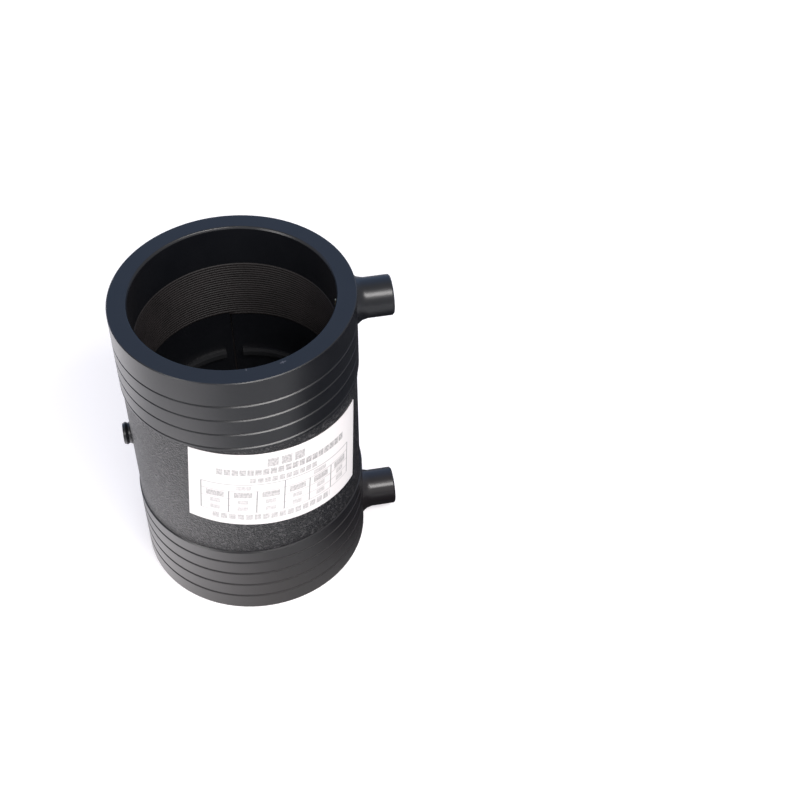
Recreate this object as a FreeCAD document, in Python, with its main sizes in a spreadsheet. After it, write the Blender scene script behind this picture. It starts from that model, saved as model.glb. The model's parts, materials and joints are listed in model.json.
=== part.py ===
import FreeCAD, Part
import os
import re
from math import cos, radians, sin

from FreeCAD import Placement, Rotation, Vector
import Sketcher

# Electrofusion coupler for 63 mm pipe, standing on its lower end face.
# Millimetres, +Z up, origin on the axis in the plane of the lower end face.
# +X points along the two electrical terminals. Each piece is drawn about mid-length or about its
# own axis, then lifted to its level.

SIZES = [
    # Moulded body
    ("overall_length", 110.0, "end face to end face"),
    ("bore_radius", 31.75, "inside the windings, 63.5 mm bore"),
    ("bore_clearance", 0.4, "the wall's inside is this much wider than the windings"),
    ("mouth_bevel", 0.45, "bevel of the bore's mouth"),
    ("wall_thickness", 6.7, "from the windings' inside to the rib zones' outside"),
    ("edge_bevel", 0.5, "bevel of the outer edge at each end face"),
    ("middle_drop", 0.5, "the textured middle lies this much under the rib zones"),
    # Ring grooves
    ("first_ring", 8.2, "end face to the first ring"),
    ("ring_pitch", 6.1, "ring to ring"),
    ("ring_count", 4, "rings at each end"),
    ("ring_width", 1.3, "mouth of a ring groove"),
    ("ring_depth", 0.5, "depth of a ring groove"),
    ("last_land", 2.9, "last ring to the shoulder of the textured middle"),
    ("strip_half_width", 9.0, "smooth strip beside each terminal, from its centre line"),
    # Windings
    ("entry_length", 15.0, "end face to the first winding"),
    ("winding_length", 23.0, "length of each wound zone"),
    ("wire_radius", 0.4, "coated wire of the leads and the bridge"),
    ("wire_overlap", 0.5, "length of lead and bridge behind the wound layer"),
    ("lead_end", 1.0, "the lead runs this far past the terminal's axis"),
    ("bridge_angle", 90.0, "where the bridge runs, from +X"),
    # Centre stop
    ("stop_height", 2.2, "how far the stop tabs stand into the bore"),
    ("stop_half_thickness", 0.9, "half the thickness of the stop tabs"),
    ("stop_gap", 6.0, "gap between two stop tabs"),
    ("stop_count", 4, "number of stop tabs"),
    # Terminals
    ("terminal_inset", 8.5, "end face to the terminal's axis"),
    ("shroud_radius", 6.55, "outside of the terminal shroud"),
    ("shroud_reach", 11.4, "shroud mouth beyond the rib zones"),
    ("shroud_bevel", 0.5, "bevel of the shroud's mouth"),
    ("cup_radius", 4.3, "inside of the shroud"),
    ("cup_floor", 2.05, "floor of the shroud beyond the rib zones"),
    ("root_margin", 0.2, "shroud's flared root to the end face"),
    ("root_height", 3.0, "height of the root's curve beyond the rib zones"),
    ("pin_radius", 2.0, "contact pin"),
    ("pin_setback", 1.95, "pin's tip under the shroud's mouth"),
    ("pin_bevel", 0.5, "bevel of the pin's tip"),
    ("shank_radius", 1.5, "pin's shank in the wall"),
    # Fusion indicators
    ("indicator_spacing", 14.5, "terminal to indicator, along the axis"),
    ("indicator_side", 3.5, "indicator beside the terminals' centre line"),
    ("well_radius", 2.5, "indicator well"),
    ("well_depth", 3.2, "depth of the well under the rib zones' outside"),
    ("plug_radius", 1.3, "indicator plug"),
    ("plug_height", 2.2, "plug above the floor of its well"),
    # Smooth panels
    ("panel_margin", 4.6, "textured margin between a panel and the shoulders"),
    ("panel_depth", 0.25, "how far the panels are sunk"),
    ("panel_angle", 36.0, "arc of the panel between the terminals"),
    ("side_panel_angle", 34.0, "arc of the panel beside it"),
    ("strip_angle", 7.0, "arc of the textured strip between the panels"),
    # Gate stub
    ("gate_radius", 3.8, "broken end of the gate stub"),
    ("gate_waist", 0.4, "how much narrower the stub's waist is"),
    ("gate_reach", 2.6, "gate stub beyond the textured middle"),
    ("gate_rim", 0.9, "thickness of the torn rim at the stub's end"),
    ("gate_dish", 0.9, "depth of the dished break"),
    # Label
    ("label_width", 63.0, "long side of the label"),
    ("label_top_gap", 0.6, "upper shoulder to the label's highest corner"),
    ("label_base_gap", 10.0, "lower shoulder to the label's lowest corner"),
    ("label_turn", 5.4, "the label is stuck on this many degrees out of true"),
    ("label_angle", -76.3, "middle of the label, from +X"),
    ("label_thickness", 0.12, "paper and adhesive"),
    ("label_clearance", 0.04, "least film of adhesive left free between label and wall"),
]

# Sizes that follow from the ones above. Levels are heights above mid-length.
DERIVED = [
    ("half_length", "overall_length / 2"),
    ("crest_radius", "bore_radius + wall_thickness"),
    ("middle_radius", "crest_radius - middle_drop"),
    ("inner_radius", "bore_radius + bore_clearance"),
    ("shoulder_level", "half_length - first_ring - (ring_count - 1) * ring_pitch - last_land"),
    ("ring_level", "half_length - first_ring"),
    ("ring_run", "(ring_count - 1) * ring_pitch"),
    ("ring_mouth_half", "ring_width / 2"),
    ("ring_arc", "360 - 2 * strip_half_width / crest_radius * 180 / pi"),
    ("winding_top", "half_length - entry_length"),
    ("winding_base", "winding_top - winding_length"),
    ("wire_line", "bore_radius + wire_radius"),
    ("wire_back", "wire_line + wire_radius"),
    ("stop_turn", "180 / stop_count"),
    ("stop_arc", "360 / stop_count - stop_gap / inner_radius * 180 / pi"),
    ("terminal_level", "half_length - terminal_inset"),
    ("shroud_mouth", "crest_radius + shroud_reach"),
    ("shroud_top", "terminal_level + shroud_radius"),
    ("root_flare", "max(0.1; terminal_inset - shroud_radius - root_margin)"),
    ("root_line", "sqrt(crest_radius ^ 2 - (shroud_radius + root_flare) ^ 2)"),
    ("root_end", "crest_radius + root_height"),
    ("root_knee", "(root_line + root_end) / 2"),
    ("knee_flare", "root_flare / 4"),
    ("cup_bottom", "crest_radius + cup_floor"),
    ("pin_tip", "shroud_mouth - pin_setback"),
    ("indicator_level", "terminal_level - indicator_spacing"),
    ("well_floor", "crest_radius - well_depth"),
    ("plug_top", "well_floor + plug_height"),
    ("panel_level", "shoulder_level - panel_margin"),
    ("panel_floor", "middle_radius - panel_depth"),
    ("side_panel_turn", "(panel_angle + side_panel_angle) / 2 + strip_angle"),
    ("gate_end", "middle_radius + gate_reach"),
    ("label_drop", "label_width * sin(label_turn)"),
    ("label_span", "2 * shoulder_level - label_top_gap - label_base_gap"),
    ("label_height", "(label_span - label_drop) / cos(label_turn)"),
    ("label_level", "half_length + shoulder_level - label_top_gap - label_span / 2"),
    ("label_radius", "middle_radius + label_clearance"),
]

# Margins of cutting outlines beyond the material they cut, and of joined shapes inside it.
SPARE = "1"
BURY = "1.5"

# Turn of an outline that lies opposite the terminals.
OPPOSITE = "180"

FULL_TURN = 360.0

DOC = FreeCAD.newDocument("coupler")
SHEET = DOC.addObject("Spreadsheet::Sheet", "Sizes")


def fill_sheet():
    """One row for each size: its name, its value or rule, and what it measures."""
    rows = [(name, str(value), note) for name, value, note in SIZES]
    rows += [(name, "=" + rule, "") for name, rule in DERIVED]
    for row, (name, content, note) in enumerate(rows, start=1):
        SHEET.set(f"A{row}", name)
        SHEET.set(f"B{row}", content)
        SHEET.set(f"C{row}", note)
        SHEET.setAlias(f"B{row}", name)
    DOC.recompute()


def size(name):
    return float(SHEET.get(name))


def total(text):
    """Value of a sum of sizes and numbers, such as 'half_length - mouth_bevel'."""
    value = 0.0
    sign = 1.0
    for word in text.split():
        if word in "+-":
            sign = -1.0 if word == "-" else 1.0
        else:
            value += sign * (float(word) if word[0].isdigit() else size(word))
    return value


def bind(thing, place, text):
    """Ties a property to the sheet. Each size's name holds an underscore, so the names are found by it."""
    thing.setExpression(place, re.sub(r"[a-z]+(?:_[a-z]+)+", r"Sizes.\g<0>", text))


def origin_feature(body, role):
    return next(item for item in body.Origin.OriginFeatures if item.Role == role)


def new_body(label, level):
    """A body that is drawn about its own origin and lifted to its level above the lower end face."""
    body = DOC.addObject("PartDesign::Body", label)
    body.Label = label
    bind(body, "Placement.Base.z", level)
    return body


def new_sketch(body, name, role, turn=None, lift=None):
    """A sketch on one of the body's planes: turned about the body's axis, or lifted off the plane."""
    sketch = body.newObject("Sketcher::SketchObject", name)
    sketch.AttachmentSupport = (origin_feature(body, role), "")
    sketch.MapMode = "FlatFace"
    if turn:
        axis = Vector(0, 0, 1) if role == "XY_Plane" else Vector(0, 1, 0)
        sketch.AttachmentOffset = Placement(Vector(), Rotation(axis, total(turn)))
        bind(sketch, "AttachmentOffset.Rotation.Angle", turn)
    if lift:
        bind(sketch, "AttachmentOffset.Base.z", lift)
    return sketch


def hold_point(sketch, index, end, x, y):
    """Holds a point of the sketch at the place that two sums give."""
    for axis, kind, text in ((-2, "DistanceX", x), (-1, "DistanceY", y)):
        if text == "0":
            sketch.addConstraint(Sketcher.Constraint("PointOnObject", index, end, axis))
        else:
            rule = Sketcher.Constraint(kind, -1, 1, index, end, total(text))
            bind(sketch, f"Constraints[{sketch.addConstraint(rule)}]", text)


def draw_outline(sketch, corners):
    """A closed outline of straight lines through the corners, in order."""
    points = [Vector(total(x), total(y), 0) for x, y in corners]
    for index, start in enumerate(points):
        sketch.addGeometry(Part.LineSegment(start, points[(index + 1) % len(points)]))
    for index, (x, y) in enumerate(corners):
        before = (index - 1) % len(corners)
        sketch.addConstraint(Sketcher.Constraint("Coincident", before, 2, index, 1))
        hold_point(sketch, index, 1, x, y)
    return sketch


def draw_axis(sketch, level):
    """A construction line along the sketch's width at the level, for turning a shape about."""
    line = Part.LineSegment(Vector(total("bore_radius"), total(level), 0),
                            Vector(total("shroud_mouth"), total(level), 0))
    index = sketch.addGeometry(line, True)
    hold_point(sketch, index, 1, "bore_radius", level)
    hold_point(sketch, index, 2, "shroud_mouth", level)
    return (sketch, ["Axis0"])


def draw_circle(sketch, x, y, radius):
    """A circle of the given radius about the point x, y."""
    centre = Vector(total(x), total(y), 0)
    index = sketch.addGeometry(Part.Circle(centre, Vector(0, 0, 1), total(radius)))
    hold_point(sketch, index, 3, x, y)
    rule = Sketcher.Constraint("Radius", index, total(radius))
    bind(sketch, f"Constraints[{sketch.addConstraint(rule)}]", radius)


def turned(body, kind, name, sketch, axis, arc=None):
    """Turns a sketch into material (Revolution) or a cut (Groove), whole or as a centred arc."""
    feature = body.newObject("PartDesign::" + kind, name)
    feature.Profile = sketch
    feature.ReferenceAxis = axis
    feature.Angle = FULL_TURN
    if arc:
        feature.Midplane = True
        bind(feature, "Angle", arc)
    return settle(body, feature, kind == "Revolution")


def pocket(body, name, sketch, length):
    """Cuts from the sketch against its normal."""
    feature = body.newObject("PartDesign::Pocket", name)
    feature.Profile = sketch
    bind(feature, "Length", length)
    return settle(body, feature, False)


def settle(body, feature, grows):
    """Makes the feature the body's last one, and checks that it added or removed material."""
    body.Tip = feature
    DOC.recompute()
    before = feature.BaseFeature.Shape.Volume if feature.BaseFeature else 0.0
    change = feature.Shape.Volume - before
    if (change > 0) != grows:
        raise RuntimeError(f"{feature.Name} changed the volume by {change:.3f}")
    return feature


def draw_wall(body):
    """The upper half of the wall, with its bevelled end face and its shoulder to the middle."""
    corners = [
        ("inner_radius", "0"),
        ("inner_radius", "half_length - mouth_bevel"),
        ("inner_radius + mouth_bevel", "half_length"),
        ("crest_radius - edge_bevel", "half_length"),
        ("crest_radius", "half_length - edge_bevel"),
        ("crest_radius", "shoulder_level + middle_drop"),
        ("middle_radius", "shoulder_level"),
        ("middle_radius", "0"),
    ]
    sketch = draw_outline(new_sketch(body, "wall_outline", "XZ_Plane"), corners)
    turned(body, "Revolution", "wall", sketch, (sketch, ["V_Axis"]))


def cut_rings(body):
    """The rings round the rib zone. They stop at the smooth strip under the terminal."""
    corners = [
        (f"crest_radius + {SPARE}", "ring_level - ring_mouth_half"),
        ("crest_radius", "ring_level - ring_mouth_half"),
        ("crest_radius - ring_depth", "ring_level"),
        ("crest_radius", "ring_level + ring_mouth_half"),
        (f"crest_radius + {SPARE}", "ring_level + ring_mouth_half"),
    ]
    sketch = draw_outline(new_sketch(body, "ring_outline", "XZ_Plane", turn=OPPOSITE), corners)
    ring = turned(body, "Groove", "ring", sketch, (sketch, ["V_Axis"]), "ring_arc")
    rings = body.newObject("PartDesign::LinearPattern", "rings")
    rings.Originals = [ring]
    rings.Direction = (origin_feature(body, "Z_Axis"), [""])
    rings.Reversed = True
    bind(rings, "Length", "ring_run")
    bind(rings, "Occurrences", "ring_count")
    settle(body, rings, False)


def add_shroud(body):
    """The round shroud of one terminal, on a root that flares into the strip."""
    corners = [
        (f"root_line - {BURY}", "terminal_level"),
        (f"root_line - {BURY}", "shroud_top + root_flare"),
        ("root_line", "shroud_top + root_flare"),
        ("root_knee", "shroud_top + knee_flare"),
        ("root_end", "shroud_top"),
        ("shroud_mouth - shroud_bevel", "shroud_top"),
        ("shroud_mouth", "shroud_top - shroud_bevel"),
        ("shroud_mouth", "terminal_level"),
    ]
    sketch = draw_outline(new_sketch(body, "shroud_outline", "XZ_Plane"), corners)
    turned(body, "Revolution", "shroud", sketch, draw_axis(sketch, "terminal_level"))


def cut_terminal(body):
    """The cup inside the shroud, and the hole for the pin's shank through the wall."""
    corners = [
        (f"bore_radius - {SPARE}", "terminal_level"),
        (f"bore_radius - {SPARE}", "terminal_level + shank_radius"),
        ("cup_bottom", "terminal_level + shank_radius"),
        ("cup_bottom", "terminal_level + cup_radius"),
        (f"shroud_mouth + {SPARE}", "terminal_level + cup_radius"),
        (f"shroud_mouth + {SPARE}", "terminal_level"),
    ]
    sketch = draw_outline(new_sketch(body, "cup_outline", "XZ_Plane"), corners)
    turned(body, "Groove", "cup", sketch, draw_axis(sketch, "terminal_level"))


def cut_well(body):
    """The round well of the fusion indicator, inboard of the terminal and a little to one side."""
    sketch = new_sketch(body, "well_outline", "YZ_Plane", lift=f"crest_radius + {SPARE}")
    draw_circle(sketch, "indicator_side", "indicator_level", "well_radius")
    pocket(body, "well", sketch, f"well_depth + {SPARE}")


def cut_panel(body, name, turn, arc):
    """A smooth panel that is sunk in the textured middle."""
    corners = [
        ("panel_floor", "0 - panel_level"),
        ("panel_floor", "panel_level"),
        (f"middle_radius + {SPARE}", "panel_level"),
        (f"middle_radius + {SPARE}", "0 - panel_level"),
    ]
    sketch = draw_outline(new_sketch(body, name + "_outline", "XZ_Plane", turn=turn), corners)
    turned(body, "Groove", name, sketch, (sketch, ["V_Axis"]), arc)


def cut_wire_seat(body, name, turn, top, length):
    """A round-bottomed seat in the bore for an upright run of the wire."""
    sketch = new_sketch(body, name + "_outline", "XY_Plane", turn=turn, lift=top)
    draw_circle(sketch, "wire_line", "0", "wire_radius")
    pocket(body, name, sketch, length)


def add_stops(body):
    """The stop tabs at mid-length. A gap lies on +X, and the others follow at even turns."""
    corners = [
        ("inner_radius - stop_height", "0 - stop_half_thickness"),
        ("inner_radius - stop_height", "stop_half_thickness"),
        (f"inner_radius + {SPARE}", "stop_half_thickness"),
        (f"inner_radius + {SPARE}", "0 - stop_half_thickness"),
    ]
    sketch = draw_outline(new_sketch(body, "stop_outline", "XZ_Plane", turn="stop_turn"), corners)
    stop = turned(body, "Revolution", "stop", sketch, (sketch, ["V_Axis"]), "stop_arc")
    stops = body.newObject("PartDesign::PolarPattern", "stops")
    stops.Originals = [stop]
    stops.Axis = (origin_feature(body, "Z_Axis"), [""])
    stops.Angle = FULL_TURN
    bind(stops, "Occurrences", "stop_count")
    settle(body, stops, True)


def repeat_half(body):
    """The lower half is the upper one, turned over about the X axis at mid-length."""
    both = body.newObject("PartDesign::PolarPattern", "both_halves")
    both.TransformMode = "Whole shape"
    both.Axis = (origin_feature(body, "X_Axis"), [""])
    both.Angle = FULL_TURN
    both.Occurrences = 2
    settle(body, both, True)


def add_gate(body):
    """The broken-off gate stub opposite the terminals: a waist, a torn rim and a dished break."""
    corners = [
        (f"middle_radius - {BURY}", "0"),
        (f"middle_radius - {BURY}", "gate_radius"),
        ("middle_radius", "gate_radius"),
        ("gate_end - gate_rim - gate_rim", "gate_radius - gate_waist"),
        ("gate_end - gate_rim", "gate_radius"),
        ("gate_end", "gate_radius - gate_waist"),
        ("gate_end - gate_dish", "gate_waist"),
        ("gate_end - gate_dish", "0"),
    ]
    sketch = draw_outline(new_sketch(body, "gate_outline", "XZ_Plane", turn=OPPOSITE), corners)
    turned(body, "Revolution", "gate", sketch, (sketch, ["H_Axis"]))


def make_coupler_body():
    body = new_body("coupler_body", "half_length")
    draw_wall(body)
    cut_rings(body)
    add_shroud(body)
    cut_terminal(body)
    cut_well(body)
    lead_seat = "terminal_level - winding_top + wire_overlap"
    cut_wire_seat(body, "lead_seat", None, "terminal_level", lead_seat)
    repeat_half(body)
    cut_panel(body, "panel", None, "panel_angle")
    cut_panel(body, "side_panel", "side_panel_turn", "side_panel_angle")
    bridge_top = "winding_base + wire_overlap"
    cut_wire_seat(body, "bridge_seat", "bridge_angle", bridge_top, f"2 * ({bridge_top})")
    add_stops(body)
    add_gate(body)
    return body


def make_pin(label, level):
    """A turned contact pin: a shank through the wall, a shoulder on the cup's floor, a bevelled tip."""
    body = new_body(label, level)
    corners = [
        ("wire_back", "0"),
        ("wire_back", "shank_radius"),
        ("cup_bottom", "shank_radius"),
        ("cup_bottom", "pin_radius"),
        ("pin_tip - pin_bevel", "pin_radius"),
        ("pin_tip", "pin_radius - pin_bevel"),
        ("pin_tip", "0"),
    ]
    sketch = draw_outline(new_sketch(body, label + "_outline", "XZ_Plane"), corners)
    turned(body, "Revolution", label + "_turned", sketch, (sketch, ["H_Axis"]))
    return body


def make_plug(label, side, level):
    """The fusion indicator's plug, standing on the floor of its well."""
    body = new_body(label, level)
    bind(body, "Placement.Base.y", side)
    corners = [
        ("well_floor", "0"),
        ("well_floor", "plug_radius"),
        ("plug_top", "plug_radius"),
        ("plug_top", "0"),
    ]
    sketch = draw_outline(new_sketch(body, label + "_outline", "XZ_Plane"), corners)
    turned(body, "Revolution", label + "_turned", sketch, (sketch, ["H_Axis"]))
    return body


def add_rod(name, radius, length, angle, base):
    """An upright rod in the line of the wire, at the angle round the bore."""
    rod = DOC.addObject("Part::Cylinder", name)
    bind(rod, "Radius", radius)
    bind(rod, "Height", length)
    bind(rod, "Placement.Base.x", f"wire_line * cos({angle})")
    bind(rod, "Placement.Base.y", f"wire_line * sin({angle})")
    bind(rod, "Placement.Base.z", base)
    return rod


def add_wound_zone(name, base):
    """One close-wound zone: the part of the wound wire that stands proud of the wall, as a sleeve."""
    outside = DOC.addObject("Part::Cylinder", name + "_outside")
    inside = DOC.addObject("Part::Cylinder", name + "_inside")
    for cylinder, radius in ((outside, "inner_radius"), (inside, "bore_radius")):
        bind(cylinder, "Radius", radius)
        bind(cylinder, "Height", "winding_length")
        bind(cylinder, "Placement.Base.z", base)
    sleeve = DOC.addObject("Part::Cut", name)
    sleeve.Base = outside
    sleeve.Tool = inside
    return sleeve


def make_coil():
    """The heating wire: two wound zones, the bridge between them and a lead to each pin."""
    lead = "terminal_level + lead_end - winding_top + wire_overlap"
    bridge = "2 * (winding_base + wire_overlap)"
    coil = DOC.addObject("Part::MultiFuse", "heating_coil")
    coil.Label = "heating_coil"
    coil.Shapes = [
        add_wound_zone("upper_windings", "winding_base"),
        add_wound_zone("lower_windings", "-winding_top"),
        add_rod("upper_lead", "wire_radius", lead, "0", "winding_top - wire_overlap"),
        add_rod("lower_lead", "wire_radius", lead, "0", "-(terminal_level + lead_end)"),
        add_rod("bridge", "wire_radius", bridge, "bridge_angle", "-(winding_base + wire_overlap)"),
    ]
    bind(coil, "Placement.Base.z", "half_length")
    return coil


def label_sheet(radius, corners):
    """The label's outline and face, wrapped on a cylinder of the radius. Corners are angle and height."""
    cylinder = Part.Cylinder()
    cylinder.Radius = radius
    edges = []
    for index, corner in enumerate(corners):
        following = corners[(index + 1) % len(corners)]
        flat = Part.Geom2d.Line2dSegment(FreeCAD.Base.Vector2d(*corner), FreeCAD.Base.Vector2d(*following))
        edges.append(flat.toShape(cylinder))
    outline = Part.Wire(edges)
    face = Part.Face(cylinder, outline)
    return outline, face


def make_label():
    """Paper wrapped on the textured middle, a little out of true."""
    radius = size("label_radius")
    turn = radians(size("label_turn"))
    corners = []
    for along, up in ((-1, -1), (1, -1), (1, 1), (-1, 1)):
        x = along * size("label_width") / 2
        y = up * size("label_height") / 2
        across = x * cos(turn) + y * sin(turn)
        level = y * cos(turn) - x * sin(turn)
        corners.append((across / radius, level))
    under, under_face = label_sheet(radius, corners)
    over, over_face = label_sheet(radius + size("label_thickness"), corners)
    faces = [under_face, over_face]
    for low, high in zip(under.Edges, over.Edges):
        faces.append(Part.makeRuledSurface(low, high))
    paper = Part.makeSolid(Part.makeShell(faces))
    if paper.Volume < 0:
        paper.reverse()
    label = DOC.addObject("Part::Feature", "product_label")
    label.Label = "product_label"
    label.Shape = paper
    label.Placement = Placement(Vector(0, 0, 0), Rotation(Vector(0, 0, 1), size("label_angle")))
    bind(label, "Placement.Base.z", "label_level")
    return label


def check_and_write(pieces):
    """Every object is sound and each piece is one valid solid, and then each is written."""
    DOC.recompute()
    for thing in DOC.Objects:
        if "Invalid" in thing.State or "Error" in thing.State:
            raise RuntimeError(f"{thing.Name} failed: {thing.State}")
    for piece in pieces:
        shape = piece.Shape
        if shape.isNull() or not shape.isValid() or len(shape.Solids) != 1:
            raise RuntimeError(f"{piece.Label} is not one valid solid")
    os.makedirs("parts", exist_ok=True)
    for piece in pieces:
        piece.Shape.exportStep(f"parts/{piece.Label}.step")
        print(f"{piece.Label}: {piece.Shape.Volume:.1f} cubic mm")


fill_sheet()
check_and_write([
    make_coupler_body(),
    make_coil(),
    make_pin("terminal_pin_upper", "half_length + terminal_level"),
    make_pin("terminal_pin_lower", "half_length - terminal_level"),
    make_plug("fusion_indicator_upper", "indicator_side", "half_length + indicator_level"),
    make_plug("fusion_indicator_lower", "-indicator_side", "half_length - indicator_level"),
    make_label(),
])
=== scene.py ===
import json
from math import atan2, copysign, cos, degrees, pi, radians, sin

import bmesh
import bpy
import numpy
from mathutils import Matrix, Vector

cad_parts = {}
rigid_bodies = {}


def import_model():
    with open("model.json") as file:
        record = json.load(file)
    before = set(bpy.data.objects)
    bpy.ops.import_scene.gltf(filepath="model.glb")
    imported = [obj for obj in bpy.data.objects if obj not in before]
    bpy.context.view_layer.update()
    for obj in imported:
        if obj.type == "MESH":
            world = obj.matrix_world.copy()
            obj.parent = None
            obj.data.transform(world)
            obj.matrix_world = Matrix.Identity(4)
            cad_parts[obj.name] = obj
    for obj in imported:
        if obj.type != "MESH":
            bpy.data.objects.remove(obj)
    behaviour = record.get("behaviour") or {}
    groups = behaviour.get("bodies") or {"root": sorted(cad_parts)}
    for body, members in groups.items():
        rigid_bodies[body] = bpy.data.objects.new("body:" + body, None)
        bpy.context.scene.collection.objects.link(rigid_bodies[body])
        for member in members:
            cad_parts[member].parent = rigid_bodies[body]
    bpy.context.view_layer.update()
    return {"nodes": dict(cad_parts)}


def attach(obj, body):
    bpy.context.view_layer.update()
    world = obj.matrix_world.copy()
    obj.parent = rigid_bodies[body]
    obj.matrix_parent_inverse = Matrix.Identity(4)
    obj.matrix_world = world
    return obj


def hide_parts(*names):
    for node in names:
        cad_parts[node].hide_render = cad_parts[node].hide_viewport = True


# An electrofusion coupler for 63 mm pipe, standing on its lower end face.
# Metres throughout, +Z up along the bore, +X along the two electrical terminals.

for leftover in list(bpy.data.objects):
    bpy.data.objects.remove(leftover)

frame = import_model()


# Moulded body
# One moulding of black polyethylene. Both ends are smooth and ringed, the middle has the grain of a
# spark-eroded mould, and two sunk panels beside the terminals are smooth.
# Its sizes are in millimetres, and angles round the bore in degrees from the terminals.
MM = 0.001
MID_LENGTH = 55.0
CREST_RADIUS = 38.45
MIDDLE_RADIUS = 37.95
RINGS = (8.2, 14.3, 20.4, 26.5, 83.5, 89.6, 95.7, 101.8)
RING_HALF_MOUTH = 0.65
RING_DEPTH = 0.5
RING_NARROWING = 0.6
RING_DROP = 1.6
RING_END = 17.0
TERMINAL_REACH = 13.0
SHOULDERS = {29.4: 1.0, 80.6: -0.4}
SHOULDER_WIDTH = 0.5
RIM_BEVEL = 0.5
MOUTH_RADIUS = 32.15
MOUTH_BEVEL = 0.45
MOUTH_DEPTH = 0.7
MOUTH_ROUNDING = 0.3
STOP_REACH = 31.5
PANEL_REACH = 21.2
PANELS = ((0.0, 18.0), (42.0, 17.0))
SLACK = 0.05


class Value:
    """A number, colour or shape in a node tree. Sums and products of values become its maths nodes."""

    def __init__(self, tree, socket):
        self.tree = tree
        self.socket = socket

    def maths(self, operation, *others):
        return self.tree.node("ShaderNodeMath", {"operation": operation}, dict(enumerate(others)))

    def __add__(self, other):
        return self.maths("ADD", self, other)

    def __rsub__(self, other):
        return self.maths("SUBTRACT", other, self)

    def __sub__(self, other):
        return self.maths("SUBTRACT", self, other)

    def __mul__(self, other):
        return self.maths("MULTIPLY", self, other)

    def __truediv__(self, other):
        return self.maths("DIVIDE", self, other)

    def __pow__(self, other):
        return self.maths("POWER", self, other)

    def __abs__(self):
        return self.maths("ABSOLUTE", self)

    __radd__ = __add__
    __rmul__ = __mul__

    def most(self, other):
        return self.maths("MAXIMUM", self, other)

    def least(self, other):
        return self.maths("MINIMUM", self, other)

    def fraction(self):
        return self.maths("FRACT", self)

    def sine(self):
        return self.maths("SINE", self)

    def ramp(self, start, end, run="SMOOTHSTEP"):
        """0 up to start, 1 from end on, and smooth between."""
        return self.tree.node("ShaderNodeMapRange", {"interpolation_type": run}, {0: self, 1: start, 2: end})

    def strip(self, low, high, soft=0.12):
        """1 between low and high, with soft edges."""
        return self.ramp(low - soft, low + soft) * (1.0 - self.ramp(high - soft, high + soft))


class Tree:
    """A node tree, with the few kinds of node that this object's finishes are made of."""

    def __init__(self, tree):
        self.tree = tree

    def node(self, kind, settings=None, sockets=None, output=0):
        """A node of the kind, with its settings and the values or links of its sockets."""
        node = self.tree.nodes.new(kind)
        for name, setting in (settings or {}).items():
            setattr(node, name, setting)
        for key, value in (sockets or {}).items():
            if isinstance(value, Value):
                self.tree.links.new(value.socket, node.inputs[key])
            else:
                node.inputs[key].default_value = value
        return Value(self, node.outputs[output]) if node.outputs else None

    def axes(self, vector):
        """The three parts of a vector."""
        node = self.node("ShaderNodeSeparateXYZ", sockets={0: vector}).socket.node
        return [Value(self, node.outputs[axis]) for axis in "XYZ"]

    def bearing(self, y, x):
        """The angle in radians of the point x, y."""
        return self.node("ShaderNodeMath", {"operation": "ARCTAN2"}, {0: y, 1: x})

    def distance(self, vector, centre):
        settings = {"operation": "DISTANCE"}
        return self.node("ShaderNodeVectorMath", settings, {0: vector, 1: centre}, output="Value")

    def blend(self, factor, first, second):
        """The first colour where the factor is 0, the second where it is 1."""
        return self.node("ShaderNodeMix", {"data_type": "RGBA"}, {0: factor, 6: first, 7: second}, output=2)


class Finish(Tree):
    """A material, with its position values in millimetres."""

    def __init__(self, name, **constants):
        self.material = bpy.data.materials.new(name)
        self.material.use_nodes = True
        super().__init__(self.material.node_tree)
        self.shader = self.tree.nodes["Principled BSDF"]
        for socket, constant in constants.items():
            self.shader.inputs[socket.replace("_", " ")].default_value = constant
        self.position = self.node("ShaderNodeTexCoord", output="Object")
        self.x, self.y, self.z = (part * 1000.0 for part in self.axes(self.position))

    def noise(self, scale, detail=2.0, position=None):
        """Cloudy noise from 0 to 1, with the scale in cells for each unit of the position."""
        sockets = {"Vector": position or self.position, "Scale": scale, "Detail": detail, "Roughness": 0.5}
        return self.node("ShaderNodeTexNoise", sockets=sockets)

    def feed(self, socket, value):
        self.tree.links.new(value.socket, self.shader.inputs[socket])

    def relief(self, height):
        """Bumps of the height, in metres."""
        return self.node("ShaderNodeBump", sockets={"Strength": 1.0, "Distance": 1.0, "Height": height})


def joined_mesh(node, name):
    """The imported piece's triangles as one mesh whose neighbours share their corners."""
    source = frame["nodes"][node].data
    places = numpy.empty(len(source.vertices) * 3)
    source.vertices.foreach_get("co", places)
    corners, index = numpy.unique(places.reshape(-1, 3).round(7), axis=0, return_inverse=True)
    index = index.ravel()
    faces = [[int(index[corner]) for corner in face.vertices] for face in source.polygons]
    mesh = bpy.data.meshes.new(name)
    mesh.from_pydata(corners.tolist(), [], [face for face in faces if len(set(face)) == len(face)])
    shape = bmesh.new()
    shape.from_mesh(mesh)
    bmesh.ops.dissolve_limit(shape, angle_limit=radians(0.4), verts=shape.verts, edges=shape.edges)
    shape.to_mesh(mesh)
    shape.free()
    return mesh


def near(value, target):
    return abs(value - target) < SLACK


def at_mouth(place):
    """Whether the place is on the bevel's edge where the bore meets an end face."""
    on_face = near(abs(place.z / MM - MID_LENGTH), MID_LENGTH)
    return on_face and near(place.xy.length / MM, MOUTH_RADIUS + MOUTH_BEVEL)


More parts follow.
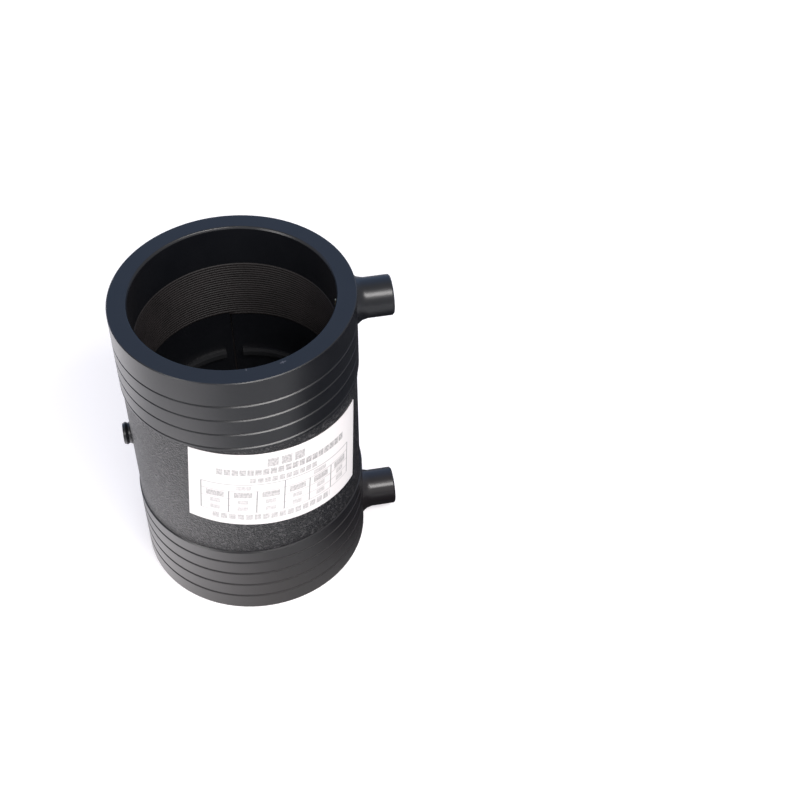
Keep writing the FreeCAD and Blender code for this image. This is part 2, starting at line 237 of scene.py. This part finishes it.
def sharpened(mesh):
    """Draws the ring grooves, shoulders and end bevels in to the width and level the photograph shows.

    The grooves stop short of the terminals, where the ends are plain."""
    for corner in mesh.vertices:
        across = corner.co.xy.length / MM
        level = corner.co.z / MM
        from_middle = level - MID_LENGTH
        turned = degrees(abs(atan2(corner.co.y, corner.co.x)))
        if CREST_RADIUS - RING_DEPTH - SLACK < across < CREST_RADIUS + SLACK:
            for ring in RINGS:
                if abs(level - ring) < RING_HALF_MOUTH + SLACK:
                    if turned > TERMINAL_REACH:
                        corner.co.z = (ring + (level - ring) * RING_NARROWING - RING_DROP) * MM
                    if turned < RING_END:
                        corner.co.xy *= CREST_RADIUS / across
            for shoulder, rise in SHOULDERS.items():
                if abs(level - shoulder) < SHOULDER_WIDTH + SLACK:
                    corner.co.z += rise * MM
        if near(across, MOUTH_RADIUS) and near(abs(from_middle), MID_LENGTH - MOUTH_BEVEL):
            corner.co.z = (MID_LENGTH + copysign(MID_LENGTH - MOUTH_DEPTH, from_middle)) * MM
        if near(across, CREST_RADIUS) and near(abs(from_middle), MID_LENGTH - RIM_BEVEL):
            corner.co.z = (MID_LENGTH + copysign(MID_LENGTH - RIM_BEVEL / 2, from_middle)) * MM
        if near(across, CREST_RADIUS - RIM_BEVEL) and near(abs(from_middle), MID_LENGTH):
            corner.co.xy *= (CREST_RADIUS - RIM_BEVEL / 2) / across
    shape = bmesh.new()
    shape.from_mesh(mesh)
    mouths = [edge for edge in shape.edges if all(at_mouth(end.co) for end in edge.verts)]
    rounding = {"offset": MOUTH_ROUNDING * MM, "offset_type": "OFFSET", "segments": 3, "profile": 0.5}
    bmesh.ops.bevel(shape, geom=mouths, affect="EDGES", **rounding)
    shape.to_mesh(mesh)
    shape.free()
    return mesh


def placed(name, mesh):
    """An object for the mesh, which already lies in its place."""
    piece = bpy.data.objects.new(name, mesh)
    bpy.context.scene.collection.objects.link(piece)
    return piece


def plain_mesh(thing):
    """The mesh of an object with its modifiers made part of it."""
    return bpy.data.meshes.new_from_object(thing.evaluated_get(bpy.context.evaluated_depsgraph_get()))


def settle(piece):
    settled = plain_mesh(piece)
    piece.modifiers.clear()
    piece.data = settled


def eased(piece, width, least_angle):
    """Rounds the piece's sharp edges over the width, as its mould does, and leaves the lands flat."""
    piece.data.shade_smooth()
    bevel = piece.modifiers.new("eased_edges", "BEVEL")
    bevel.width = width
    bevel.segments = 2
    bevel.limit_method = "ANGLE"
    bevel.angle_limit = least_angle
    settle(piece)
    piece.data.set_sharp_from_angle(angle=radians(50))
    lands = piece.modifiers.new("flat_lands", "WEIGHTED_NORMAL")
    lands.mode = "FACE_AREA"
    lands.weight = 80
    lands.keep_sharp = True
    settle(piece)


def dressed(piece, finish):
    piece.data.materials.clear()
    piece.data.materials.append(finish.material)


black = Finish("black_polyethylene")
radius = (black.x * black.x + black.y * black.y) ** 0.5
angle = black.bearing(black.y, black.x) * (180.0 / pi)

# The grain lies between the shoulders, on the middle's own radius, and not in the panels.
lower_shoulder, upper_shoulder = (level + rise for level, rise in SHOULDERS.items())
grained = black.z.ramp(lower_shoulder - 0.1, lower_shoulder + 0.2)
grained = grained * (1.0 - black.z.ramp(upper_shoulder - 0.2, upper_shoulder + 0.1))
grained = grained * radius.strip(MIDDLE_RADIUS - 0.1, MIDDLE_RADIUS + 0.2, 0.1)
for middle, half in PANELS:
    beside = abs(angle - middle).ramp(half - 0.2, half + 0.1)
    above = abs(black.z - MID_LENGTH).ramp(PANEL_REACH - 0.1, PANEL_REACH + 0.1)
    grained = grained * beside.most(above)

# Clouded black, lighter and warmer towards the foot, with pale specks on the grain and three nicks in the upper
# face.
clouds = black.noise(90.0, 3.0)
plastic = black.blend(clouds, (0.004, 0.0045, 0.006, 1.0), (0.007, 0.0075, 0.0095, 1.0))
# Lighter and warmer towards the foot on the outside, fading out upwards, with a cloudy spread.
foot_lightening = (1.0 - black.z.ramp(10.0, 45.0)) * radius.ramp(36.0, 37.0) * (0.4 + clouds * 0.6)
plastic = black.blend(foot_lightening, plastic, (0.013, 0.0105, 0.0110, 1.0))
specks = grained * black.noise(1000.0, 1.0).ramp(0.54, 0.64) * 0.8
plastic = black.blend(specks, plastic, (0.060, 0.058, 0.060, 1.0))
nicks = radius.strip(33.5, 34.6, 0.1) * angle.strip(-70.6, -70.2)
nicks = nicks + radius.strip(33.9, 34.2, 0.1) * angle.strip(-72.0, -68.7, 0.3)
nicks = nicks + radius.strip(32.7, 33.6, 0.1) * angle.strip(-89.4, -89.0)
nicks = nicks * black.z.ramp(109.8, 109.9)
black.feed("Base Color", black.blend(nicks.least(1.0) * 0.7, plastic, (0.10, 0.10, 0.115, 1.0)))

# The lower grooves and the stop tabs are duller than the skin beside them.
dull = (1.0 - radius.ramp(STOP_REACH - 0.1, STOP_REACH + 0.1)) * 0.4
in_ring_zone = radius.ramp(CREST_RADIUS - 0.6, CREST_RADIUS - 0.5)
for ring in RINGS[:4]:
    groove = black.z.strip(ring - RING_DROP - 0.6, ring - RING_DROP + 0.6, 0.2)
    dull = dull + groove * in_ring_zone * 0.34
black.feed("Roughness", 0.26 + clouds * 0.10 + grained * 0.08 + dull)

cell_sockets = {"Vector": black.position, "Scale": 1800.0, "Smoothness": 0.3}
cells = black.node("ShaderNodeTexVoronoi", {"feature": "SMOOTH_F1"}, cell_sockets)
grain = cells + black.noise(2400.0) * 0.35
skin = black.noise(420.0, 3.0)
black.feed("Normal", black.relief(grained * grain * 0.0004 + (1.0 - grained) * skin * 0.000012))

body = placed("moulded_body", sharpened(joined_mesh("coupler_body", "moulded_body")))
eased(body, 0.1 * MM, radians(30))
dressed(body, black)
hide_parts("coupler_body")
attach(body, "root")


# Windings
# One coated resistance wire. It runs down from the upper terminal, round the upper socket, down the
# wall past the stop tabs, round the lower socket and on to the lower terminal.
WIRE_RADIUS = 0.56 * MM
WIRE_SIDES = 10
WIRE_LINE = 32.33 * MM
BRIDGE_LINE = 32.95 * MM
UPPER_LEAD = (102.3, 98.0)
BRIDGE = (71.9, 38.1)
LOWER_LEAD = (12.0, 7.7)
STEPS_PER_TURN = 96
BARE_FROM_MIDDLE = 45.4


def wound(top, base, start, turns):
    """Places along a winding, from its top level down to its base. It starts at the angle."""
    steps = round(turns * STEPS_PER_TURN)
    places = []
    for step in range(steps + 1):
        along = step / steps
        turn = radians(start) + along * turns * 2 * pi
        level = (top + (base - top) * along) * MM
        places.append(Vector((WIRE_LINE * cos(turn), WIRE_LINE * sin(turn), level)))
    return places


route = [Vector((WIRE_LINE, 0.0, level * MM)) for level in UPPER_LEAD]
route += wound(94.5, 72.5, 0.0, 22.25)
route += [Vector((0.0, BRIDGE_LINE, level * MM)) for level in BRIDGE]
route += wound(37.5, 15.5, 90.0, 21.75)
route += [Vector((WIRE_LINE, 0.0, level * MM)) for level in LOWER_LEAD]

path = bpy.data.curves.new("wire_path", "CURVE")
path.dimensions = "3D"
line = path.splines.new("POLY")
line.points.add(len(route) - 1)
for point, place in zip(line.points, route):
    point.co = (*place, 1.0)

coating = Finish("wire_coating", Specular_IOR_Level=0.25)
warm = coating.noise(160.0)
coated = coating.blend(warm, (0.006, 0.0055, 0.0055, 1.0), (0.018, 0.0145, 0.0150, 1.0))
bare = abs(coating.z - MID_LENGTH).ramp(BARE_FROM_MIDDLE, BARE_FROM_MIDDLE + 0.4)
coating.feed("Base Color", coating.blend(bare, coated, (0.95, 0.85, 0.58, 1.0)))
coating.feed("Metallic", bare)
coating.feed("Roughness", 0.44 + warm * 0.16 - bare * 0.2)
coating.feed("Normal", coating.relief(coating.noise(700.0) * 0.00004))


def swept_along(curve, name, finish, wire_radius, sides):
    """A round wire along the curve, made by geometry nodes."""
    group = bpy.data.node_groups.new(name, "GeometryNodeTree")
    group.interface.new_socket("Path", in_out="INPUT", socket_type="NodeSocketGeometry")
    radius_input = group.interface.new_socket("Wire radius", in_out="INPUT", socket_type="NodeSocketFloat")
    sides_input = group.interface.new_socket("Sides", in_out="INPUT", socket_type="NodeSocketInt")
    group.interface.new_socket("Wire", in_out="OUTPUT", socket_type="NodeSocketGeometry")
    steps = Tree(group)
    given = steps.node("NodeGroupInput").socket.node.outputs
    line, thickness, count = (Value(steps, given[key]) for key in ("Path", "Wire radius", "Sides"))
    profile = steps.node("GeometryNodeCurvePrimitiveCircle", sockets={"Radius": thickness, "Resolution": count})
    sockets = {"Curve": line, "Profile Curve": profile, "Fill Caps": True}
    swept = steps.node("GeometryNodeCurveToMesh", sockets=sockets)
    swept = steps.node("GeometryNodeSetShadeSmooth", sockets={"Geometry": swept})
    swept = steps.node("GeometryNodeRealizeInstances", sockets={"Geometry": swept})
    swept = steps.node("GeometryNodeSetMaterial", sockets={"Geometry": swept, "Material": finish.material})
    steps.node("NodeGroupOutput", sockets={"Wire": swept})
    holder = placed(name, curve)
    modifier = holder.modifiers.new(name, "NODES")
    modifier.node_group = group
    modifier[radius_input.identifier] = wire_radius
    modifier[sides_input.identifier] = sides
    mesh = plain_mesh(holder)
    bpy.data.objects.remove(holder)
    return mesh


wire = placed("wound_wire", swept_along(path, "wound_wire", coating, WIRE_RADIUS, WIRE_SIDES))
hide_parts("heating_coil")
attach(wire, "root")


# Contact pins
# Two turned brass pins, one in each shroud. Their shanks pass through the wall to the wire.
PIN_FROM_MIDDLE = 46.5

brass = Finish("turned_brass", Metallic=1.0)
from_axis = ((brass.y * brass.y) + (abs(brass.z - MID_LENGTH) - PIN_FROM_MIDDLE) ** 2.0) ** 0.5
tool_marks = (from_axis * 60.0 + brass.x * 40.0).sine()
tarnish = brass.noise(900.0, 3.0)
brass.feed("Base Color", brass.blend(tarnish, (0.86, 0.72, 0.38, 1.0), (0.72, 0.58, 0.29, 1.0)))
brass.feed("Roughness", 0.18 + tarnish * 0.2)
brass.feed("Normal", brass.relief(tool_marks * 0.000004))
for end in ("upper", "lower"):
    frame["nodes"][f"terminal_pin_{end}"].material_slots[0].material = brass.material


# Fusion indicators
# A small plug of the same black plastic stands in each well beside a terminal, and rises when the
# joint is hot enough.
plug_black = Finish("indicator_plastic")
mottle = plug_black.noise(1100.0)
plug_black.feed("Base Color", plug_black.blend(mottle, (0.012, 0.012, 0.014, 1.0), (0.028, 0.028, 0.031, 1.0)))
plug_black.feed("Roughness", 0.34 + mottle * 0.2)
plug_black.feed("Normal", plug_black.relief(mottle * 0.00003))
for end in ("upper", "lower"):
    frame["nodes"][f"fusion_indicator_{end}"].material_slots[0].material = plug_black.material


# Label
# A white paper label wrapped on the grained middle, a little out of true, with grey print: a heading,
# two lines, a ruled table and a line under it, all as plain bars.
LABEL_RADIUS = 38.0
LABEL_MIDDLE = -76.3
LABEL_LEVEL = 59.7
LABEL_TURN = radians(5.4)
LABEL_WIDTH = 63.0
LABEL_HEIGHT = 34.8
BASE_RISE = 1.3
TABLE_LEFT = 4.1
TABLE_WIDTH = 53.4
TABLE_TOP = 14.1
TABLE_HEAD = 17.3
TABLE_BASE = 27.6
COLUMN = 8.95
# Bars of print: left, top, width, height, pitch, filled share, shade, darkening to the right.
BARS = (
    (24.4, 2.6, 13.5, 3.7, 4.5, 0.8, 0.85, 0.0),
    (8.8, 7.0, 46.0, 2.7, 2.42, 0.86, 0.78, 0.004),
    (19.4, 11.0, 23.2, 2.3, 2.32, 0.82, 0.78, 0.0),
    (7.6, 28.5, 41.0, 2.6, 2.7, 0.8, 0.74, 0.0),
    (15.2, 14.8, 4.9, 1.9, 4.9, 1.1, 0.6, 0.0),
    (41.2, 14.8, 5.2, 1.9, 5.2, 1.1, 0.6, 0.0),
)
# Rows of the table's cells: top, height, shade, width. Its rules: level, shade.
ROWS = ((17.8, 2.6, 0.82, 5.8), (21.5, 2.0, 0.6, 3.4), (24.8, 2.0, 0.58, 3.4))
RULES = ((TABLE_TOP, 0.5), (TABLE_HEAD, 0.36), (21.0, 0.33), (24.3, 0.3), (TABLE_BASE, 0.33))
FULL_COLUMNS = (0, 3, 6)

paper = Finish("label_paper")
across = (paper.bearing(paper.y, paper.x) - radians(LABEL_MIDDLE)) * LABEL_RADIUS
up = paper.z - LABEL_LEVEL
right = across * cos(LABEL_TURN) - up * sin(LABEL_TURN) + LABEL_WIDTH / 2
down = LABEL_HEIGHT / 2 - (across * sin(LABEL_TURN) + up * cos(LABEL_TURN))
on_sheet = paper.node("ShaderNodeCombineXYZ", sockets={0: right, 1: down * 0.7})
uneven = 0.38 + paper.noise(1.5, 1.0, on_sheet).ramp(0.36, 0.62) * 0.3


def block(left, top, width, height, soft=0.12):
    return right.strip(left, left + width, soft) * down.strip(top, top + height, soft)


print_marks = []
for left, top, width, height, pitch, fill, shade, darkening in BARS:
    bars = ((right - left) / pitch).fraction().strip(0.5 - fill / 2, 0.5 + fill / 2, 0.06)
    print_marks.append(block(left, top, width, height) * bars * uneven * (shade + right * darkening))
for top, height, shade, width in ROWS:
    cell = ((right - TABLE_LEFT) / COLUMN).fraction() * COLUMN
    filled = cell.strip(4.5 - width / 2, 4.5 + width / 2)
    print_marks.append(filled * block(TABLE_LEFT, top, TABLE_WIDTH, height) * uneven * shade)
for level, shade in RULES:
    print_marks.append(block(TABLE_LEFT, level - 0.18, TABLE_WIDTH, 0.36, 0.1) * shade)
for column in range(7):
    top = TABLE_TOP if column in FULL_COLUMNS else TABLE_HEAD
    left = TABLE_LEFT + column * COLUMN - 0.2
    print_marks.append(block(left, top, 0.4, TABLE_BASE - top, 0.1) * 0.75)
ink = print_marks[0]
for mark in print_marks[1:]:
    ink = ink.most(mark)

fibres = paper.noise(500.0, 4.0)
white = paper.blend(fibres, (0.86, 0.82, 0.815, 1.0), (0.89, 0.855, 0.85, 1.0))
paper.feed("Base Color", paper.blend(ink, white, (0.13, 0.125, 0.13, 1.0)))
paper.feed("Roughness", 0.38 + fibres * 0.16)
paper.feed("Normal", paper.relief(fibres * 0.00002))


def trimmed(mesh):
    """Brings the label's base edge up to the level the photograph shows. The top edge stays."""
    for corner in mesh.vertices:
        turned = atan2(corner.co.y, corner.co.x) - radians(LABEL_MIDDLE)
        level = corner.co.z / MM - LABEL_LEVEL
        above = level * cos(LABEL_TURN) + turned * LABEL_RADIUS * sin(LABEL_TURN)
        corner.co.z += BASE_RISE * (0.5 - above / LABEL_HEIGHT) * MM
    return mesh


label = placed("paper_label", trimmed(joined_mesh("product_label", "paper_label")))
dressed(label, paper)
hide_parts("product_label")
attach(label, "root")


# Stage
# A white sweep and a pale sky that turns blue behind. To the polished plastic the floor glows on the left and
# at the foot, as the white sheet in the photograph does, and is dark on the right: painted light and painted
# shade in the floor, seen by every ray but the camera's.
FLOOR = 4.0
MIDDLE = Vector((0.0, 0.0, MID_LENGTH * MM))
PAINTED_SHADE_SPOT = (0.14, 0.005, 0.0)
FOOT = (-0.05, -0.045, 0.0)

sheet = Finish("floor_paint", Roughness=0.9, Specular_IOR_Level=0.1)
to_camera = sheet.node("ShaderNodeLightPath", output="Is Camera Ray")
to_gloss = sheet.node("ShaderNodeLightPath", output="Is Glossy Ray")
# Painted shade: to every ray but the camera's, the floor is near black round a spot to the right of the
# coupler.
lit = to_camera.most(sheet.distance(sheet.position, PAINTED_SHADE_SPOT).ramp(0.095, 0.135))
sheet.feed("Base Color", sheet.blend(lit, (0.03, 0.03, 0.035, 1.0), (0.60, 0.60, 0.60, 1.0)))
leftward = sheet.x.ramp(-10.0, -130.0) * 0.98 * (0.68 + sheet.y.ramp(-100.0, 80.0) * 0.44)
pool = sheet.distance(sheet.position, FOOT).ramp(0.075, 0.0) * 1.75
outside = sheet.distance(sheet.position, (0.0, 0.0, 0.0)).ramp(0.0375, 0.0385, "LINEAR")
glow = to_camera * 0.5 + to_gloss * (leftward + pool) * outside
tint = {0: (1.0, 0.95, 0.97), "Scale": glow}
sheet.feed("Emission Color", sheet.node("ShaderNodeVectorMath", {"operation": "SCALE"}, tint))
sheet.shader.inputs["Emission Strength"].default_value = 1.0

floor_mesh = bpy.data.meshes.new("floor")
floor_corners = [(-FLOOR, -FLOOR, 0), (FLOOR, -FLOOR, 0), (FLOOR, FLOOR, 0), (-FLOOR, FLOOR, 0)]
floor_mesh.from_pydata(floor_corners, [], [(0, 1, 2, 3)])
floor = placed("floor", floor_mesh)
dressed(floor, sheet)

world = bpy.data.worlds.new("studio")
bpy.context.scene.world = world
world.use_nodes = True
sky = Tree(world.node_tree)
behind = sky.axes(sky.node("ShaderNodeTexCoord", output="Generated"))[1].ramp(0.2, 0.65, "LINEAR")
sky_colour = sky.blend(behind, (0.55, 0.55, 0.57, 1.0), (0.40, 0.55, 0.86, 1.0))
straight = sky.node("ShaderNodeLightPath", output="Is Camera Ray")
sky_colour = sky.blend(straight, sky_colour, (1.0, 1.0, 1.0, 1.0))
world.node_tree.links.new(sky_colour.socket, world.node_tree.nodes["Background"].inputs["Color"])


def lamp(name, place, width, height, power, colour):
    """A soft lamp that faces the coupler."""
    light = bpy.data.lights.new(name, "AREA")
    light.shape = "RECTANGLE"
    light.size = width
    light.size_y = height
    light.energy = power
    light.color = colour
    holder = placed(name, light)
    holder.location = place
    holder.rotation_euler = (MIDDLE - Vector(place)).to_track_quat("-Z", "Y").to_euler()
    return holder


lamp("lamp_front", (0.25, -0.62, 0.95), 0.7, 0.3, 10.3, (1.0, 0.975, 0.965))
lamp("lamp_left", (-0.8, -0.55, 0.60), 0.4, 0.4, 3.0, (1.0, 0.985, 0.975))
fill_light = lamp("lamp_right", (0.45, -0.62, 0.35), 0.4, 0.4, 1.9, (1.0, 0.985, 0.975))
fill_light.visible_glossy = False

# The camera looks down from the front, as in the photograph.
YAW, PITCH = 0.19175, 0.8125
CAMERA_PLACE = (-0.01225, -0.33413, 0.41166)
forward = Vector((sin(YAW) * cos(PITCH), cos(YAW) * cos(PITCH), -sin(PITCH)))
cam_right = Vector((cos(YAW), -sin(YAW), 0.0))
cam_up = cam_right.cross(forward)
camera = placed("camera", bpy.data.cameras.new("camera"))
camera.data.lens = 65.4
camera.data.sensor_width = 36.0
camera.data.clip_start = 0.01
turned_to = Matrix((cam_right, cam_up, -forward)).transposed()
camera.matrix_world = Matrix.Translation(CAMERA_PLACE) @ turned_to.to_4x4()
bpy.context.scene.camera = camera
bpy.context.scene.view_settings.view_transform = "Standard"
